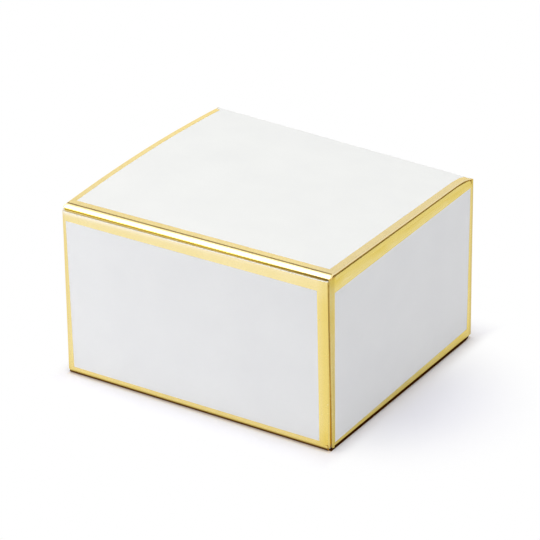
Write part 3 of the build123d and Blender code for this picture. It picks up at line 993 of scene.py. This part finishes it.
def hinge_fold(name, place):
    """The fold between a closure and its wall: white on the lid, gold with a painted dark foot (painted
    shade) on the base.
    """
    section = round_fold((HALF_D, HINGE_HIGH), (HALF_D, HEIGHT), (FLAT_END, HEIGHT), HINGE_RADIUS)
    on_panel = (0, HALF_D - BEND_FAR, HEIGHT - BEND_NEAR)
    on_wall = (0, HALF_D - BEND_NEAR, HEIGHT - BEND_FAR)
    if name == "lid":
        ends, looks = (-HINGE_HALF, HINGE_HALF), (WHITE, HINGE_WEAR, 0.0)
    else:
        ends = (-HINGE_HALF, SEAM[0] + HINGE_PAST_SEAM)
        looks = (GOLD, HINGE_WEAR, FOIL_TOP, HINGE_PAINTED_SHADE_FROM, HINGE_PAINTED_TONE, EDGE_GOLD_PAINTED_SHADE)
    fold_strip(f"{name}_hinge_fold", section, ends, 0, place, (name, "carton"), on_panel, on_wall, *looks)


TUCK_ROWS, TUCK_WEAR = (0.25, 0.5, 0.8, TUCK_FIRST), 0.2
TUCK_BEND_START, TUCK_BEND_END = NOSE_LEVEL + 0.1, NOSE_LEVEL - 0.8


def tuck_fold(name, place):
    """The fold between a closure's nose and its tuck flap."""
    points, normals = nose_profile(np.linspace(NOSE_CUT, NOSE_S[-1], 5))
    s = np.array(TUCK_ROWS)
    flap = tuck_plane(s, np.zeros_like(s), np.full_like(s, BOARD / 2))[:, 1:]
    face = np.array((-math.cos(TUCK_LEAN), -math.sin(TUCK_LEAN)))
    section = np.concatenate([points, flap]), np.concatenate([normals, np.tile(face, (len(s), 1))])
    shoulder = LID_HALF - TUCK_HALF if name == "lid" else SHOULDER_LEFT
    ends = (-LID_HALF + SHOULDER_LEFT, LID_HALF - shoulder)
    fold_strip(f"{name}_tuck_fold", section, ends, 0, place, (name, f"{name}_tuck"),
               (0, NOSE_FACE, TUCK_BEND_START), (0, NOSE_FACE, TUCK_BEND_END), GOLD, TUCK_WEAR, 0.0)


# Radius, wear, start of the painted dark foot (painted shade) and painted deeper tone of a dust flap's fold
DUST_FOLDS = {"lid": (0.45, 0.5, None, 0.5), "base": (0.3, 0.2, HEIGHT - 0.84, 0.6)}
DUST_BEND_START, DUST_BEND_END = CREASE_HIGH + 0.2, DUST_FIRST + 0.1


def dust_fold(name, side, sign, place):
    """The fold between a side wall and a dust flap."""
    radius, wear, painted_shade_from, tone = DUST_FOLDS[name]
    section = round_fold((sign * HALF_W, CREASE_HIGH), (sign * HALF_W, FLAP_LEVEL),
                         (sign * DUST_FIRST, FLAP_LEVEL), radius)
    fold_front = FOLD_FRONT if (name, side) == ("lid", "right") else DUST_FRONT
    fold_strip(f"{name}_{side}_dust_fold", section, (fold_front, DUST_BACK), 1, place,
               ("carton", f"{name}_{side}_dust"), (sign * HALF_W, 0, DUST_BEND_START),
               (sign * DUST_BEND_END, 0, FLAP_LEVEL), GOLD_SIDE_PAINTED_SHADE, wear, FOIL_TOP, painted_shade_from, tone)


def lid_place(p):
    return settle(lift(p))


def base_place(p):
    return settle(turned(p))


# Windows in the closures' foil: left and right front corner, then the places of both sides at the hinge
LID_WINDOW = ((-28.44, -24.35), (28.05, -24.25), -28.5, 28.34)
BASE_WINDOW = ((-28.4, -23.4), (28.4, -23.3), -28.4, 28.4)
BASE_HINGE_BORDER = 0.9
SIDES = (("left", -1), ("right", 1))
DUST_SEED = 47.0

closure("lid", lid_place, LID_WINDOW, bows=(BOW_LEFT, BOW_RIGHT), border=0.0,
        shoulder=LID_HALF - TUCK_HALF, half=LID_HALF, seed=31.0)
closure("base", base_place, BASE_WINDOW, bows=(0.0, 0.0), border=BASE_HINGE_BORDER,
        shoulder=SHOULDER_LEFT, half=BASE_HALF, seed=37.0)
tuck_flap("lid", lid_place, seed=41.0)
tuck_flap("base", base_place, seed=43.0)
for name, place in (("lid", settle), ("base", base_place)):
    for side, sign in SIDES:
        dust_flap(name, side, sign, place, DUST_SEED + sign)
for name, place_wall, place_lid in (("lid", settle, lid_place), ("base", base_place, base_place)):
    hinge_fold(name, place_lid)
    tuck_fold(name, place_lid)
    for side, sign in SIDES:
        dust_fold(name, side, sign, place_wall)


# Stage, in metres: a white sheet that keeps the soft shadow, white surroundings, soft lamps and toned cards

FLOOR_RADIUS, FLOOR_LEVEL, FLOOR_SIDES = 1.6, -0.00005, 96
# The sheet is white to the camera away from the object's shadow, which falls to the right.
# Beside the object it is shaded, and within a millimetre its colour is tinted warm, a painted reflection of
# the foil's light above it.
SHADE_AT, SHADE_NEAR, SHADE_FAR = (0.031, -0.002, 0.0), 0.004, 0.031
CONTACT, CONTACT_REACH, CONTACT_SIDE = 0.15, 0.009, 2.5
PAINTED_BOUNCE_FROM, PAINTED_BOUNCE_TO = -0.0006, 0.0001
SHEET_TONE, PAINTED_BOUNCE_TONE = (0.94, 0.936, 0.995), (0.95, 0.82, 0.66)
FILL = 0.505


def seen_directly(tree):
    """1 where the camera sees a surface, or metal or glass reflects or passes it on to the camera."""
    path = tree.nodes.new("ShaderNodeLightPath")
    both = math_node("MAXIMUM", path.outputs["Is Camera Ray"], path.outputs["Is Glossy Ray"])
    return math_node("MAXIMUM", both, path.outputs["Is Transmission Ray"])


def outside(coordinate, half):
    """Distance in metres beyond a side of the carton, from its middle plane."""
    return math_node("SUBTRACT", math_node("ABSOLUTE", coordinate, 0), half * MM)


def white_sheet():
    mat, tree, surface = bare_material("white_sheet")
    diffuse = tree.nodes.new("ShaderNodeBsdfDiffuse")
    glow = tree.nodes.new("ShaderNodeEmission")
    place = tree.nodes.new("ShaderNodeTexCoord").outputs["Object"]
    length = tree.nodes.new("ShaderNodeVectorMath")
    length.operation = "DISTANCE"
    tree.links.new(place, length.inputs[0])
    length.inputs[1].default_value = SHADE_AT
    lit = remap(length.outputs["Value"], SHADE_NEAR, SHADE_FAR, 0, 1)
    lit.node.interpolation_type = "SMOOTHSTEP"
    axes = tree.nodes.new("ShaderNodeSeparateXYZ")
    tree.links.new(place, axes.inputs["Vector"])
    aside = outside(axes.outputs["X"], HALF_W)
    ahead = outside(axes.outputs["Y"], HALF_D)
    clear_of = math_node("MAXIMUM", math_node("MULTIPLY", aside, CONTACT_SIDE), ahead)
    # Painted reflection: the sheet's colour turns warm close to the carton
    painted_bounce = remap(clear_of, PAINTED_BOUNCE_FROM, PAINTED_BOUNCE_TO, 1, 0)
    tree.links.new(mix_color(painted_bounce, SHEET_TONE, PAINTED_BOUNCE_TONE), diffuse.inputs["Color"])
    contact = remap(clear_of, 0, CONTACT_REACH, CONTACT, 1)
    contact.node.interpolation_type = "SMOOTHSTEP"
    share = math_node("MULTIPLY", lit, contact)
    share = math_node("MULTIPLY", share, seen_directly(tree))
    mixed = tree.nodes.new("ShaderNodeMixShader")
    tree.links.new(share, mixed.inputs["Fac"])
    tree.links.new(diffuse.outputs["BSDF"], mixed.inputs[1])
    tree.links.new(glow.outputs["Emission"], mixed.inputs[2])
    tree.links.new(mixed.outputs["Shader"], surface)
    return mat


floor_mesh = bpy.data.meshes.new("floor")
angles = [2 * math.pi * k / FLOOR_SIDES for k in range(FLOOR_SIDES)]
ring = [(FLOOR_RADIUS * math.cos(a), FLOOR_RADIUS * math.sin(a), FLOOR_LEVEL) for a in angles]
floor_mesh.from_pydata(ring, [], [list(range(FLOOR_SIDES))])
floor_mesh.materials.append(white_sheet())
floor = put("floor", floor_mesh)

world = bpy.data.worlds.new("white_room")
bpy.context.scene.world = world
world.use_nodes = True
background = world.node_tree.nodes["Background"]
background.inputs["Color"].default_value = (1, 1, 1, 1)
strength = remap(seen_directly(world.node_tree), 0, 1, FILL, 1)
world.node_tree.links.new(strength, background.inputs["Strength"])


def soft_lamp(name, place, aim, size, power, for_foil=False):
    """A soft lamp, either for the foil's reflections alone or for everything but those."""
    lamp = bpy.data.lights.new(name, "AREA")
    lamp.shape = "RECTANGLE"
    lamp.size, lamp.size_y = size
    lamp.energy = power
    obj = put(name, lamp)
    obj.location = place
    obj.rotation_euler = (Vector(aim) - Vector(place)).to_track_quat("-Z", "Y").to_euler()
    obj.visible_diffuse = not for_foil
    obj.visible_glossy = for_foil


soft_lamp("overhead_softbox", (-0.16, -0.05, 0.95), (-0.12, -0.05, 0.0), (0.4, 1.1), 5.45)
soft_lamp("low_front_fill", (-0.17, -0.18, 0.07), (-0.01, -0.02, 0.02), (0.1, 0.08), 0.11)
soft_lamp("right_fill", (0.20, 0.14, 0.09), (0.03, 0.01, 0.015), (0.1, 0.08), 0.007)
soft_lamp("edge_strip", (-0.6, -0.55, 0.95), (0, 0, 0.03), (0.5, 0.9), 4.0, for_foil=True)


def card(name, corners, tone, second_tone):
    """A toned card that only the foil reflects."""
    mesh = bpy.data.meshes.new(name)
    mesh.from_pydata(corners, [], [(0, 1, 2, 3)])
    mat, tree, surface = bare_material(name)
    glow = tree.nodes.new("ShaderNodeEmission")
    mottle = noise_tex(coords(tree), 12)
    tree.links.new(mix_color(mottle, tone, second_tone), glow.inputs["Color"])
    tree.links.new(glow.outputs["Emission"], surface)
    mesh.materials.append(mat)
    obj = put(name, mesh)
    obj.visible_camera = obj.visible_diffuse = obj.visible_shadow = False


card("low_card", [(-0.62, -0.38, 0.0), (-0.02, -0.72, 0.0), (-0.02, -0.72, 0.24), (-0.62, -0.38, 0.24)],
     (0.62, 0.50, 0.04), (0.50, 0.36, 0.02))
card("high_card", [(-0.70, 0.30, 0.56), (-0.10, 0.70, 0.56), (-0.10, 0.30, 0.95), (-0.70, 0.05, 0.95)],
     (0.20, 0.13, 0.03), (0.30, 0.21, 0.05))

# Camera at the photograph's viewing angle, with lengths in millimetres, and its near limit in metres
AZIMUTH, ELEVATION, ROLL = math.radians(32.269), math.radians(26.882), math.radians(-0.241)
DISTANCE, TARGET = 670.606, Vector((-2.08, 2.889, 17.0))
LENS, SENSOR, CLIP_START = 227.6, 36.0, 0.02
level = math.cos(ELEVATION)
back_axis = Vector((math.sin(AZIMUTH) * level, -math.cos(AZIMUTH) * level, math.sin(ELEVATION)))
right_axis = (-back_axis).cross(Vector((0, 0, 1))).normalized()
up_axis = right_axis.cross(-back_axis)
camera_data = bpy.data.cameras.new("camera")
camera_data.lens = LENS
camera_data.sensor_width = SENSOR
camera_data.clip_start = CLIP_START
camera = put("camera", camera_data)
rotation = Matrix((right_axis, up_axis, back_axis)).transposed().to_4x4() @ Matrix.Rotation(ROLL, 4, "Z")
camera.matrix_world = Matrix.Translation((TARGET + back_axis * DISTANCE) * MM) @ rotation
bpy.context.scene.camera = camera
bpy.context.scene.view_settings.view_transform = "Standard"
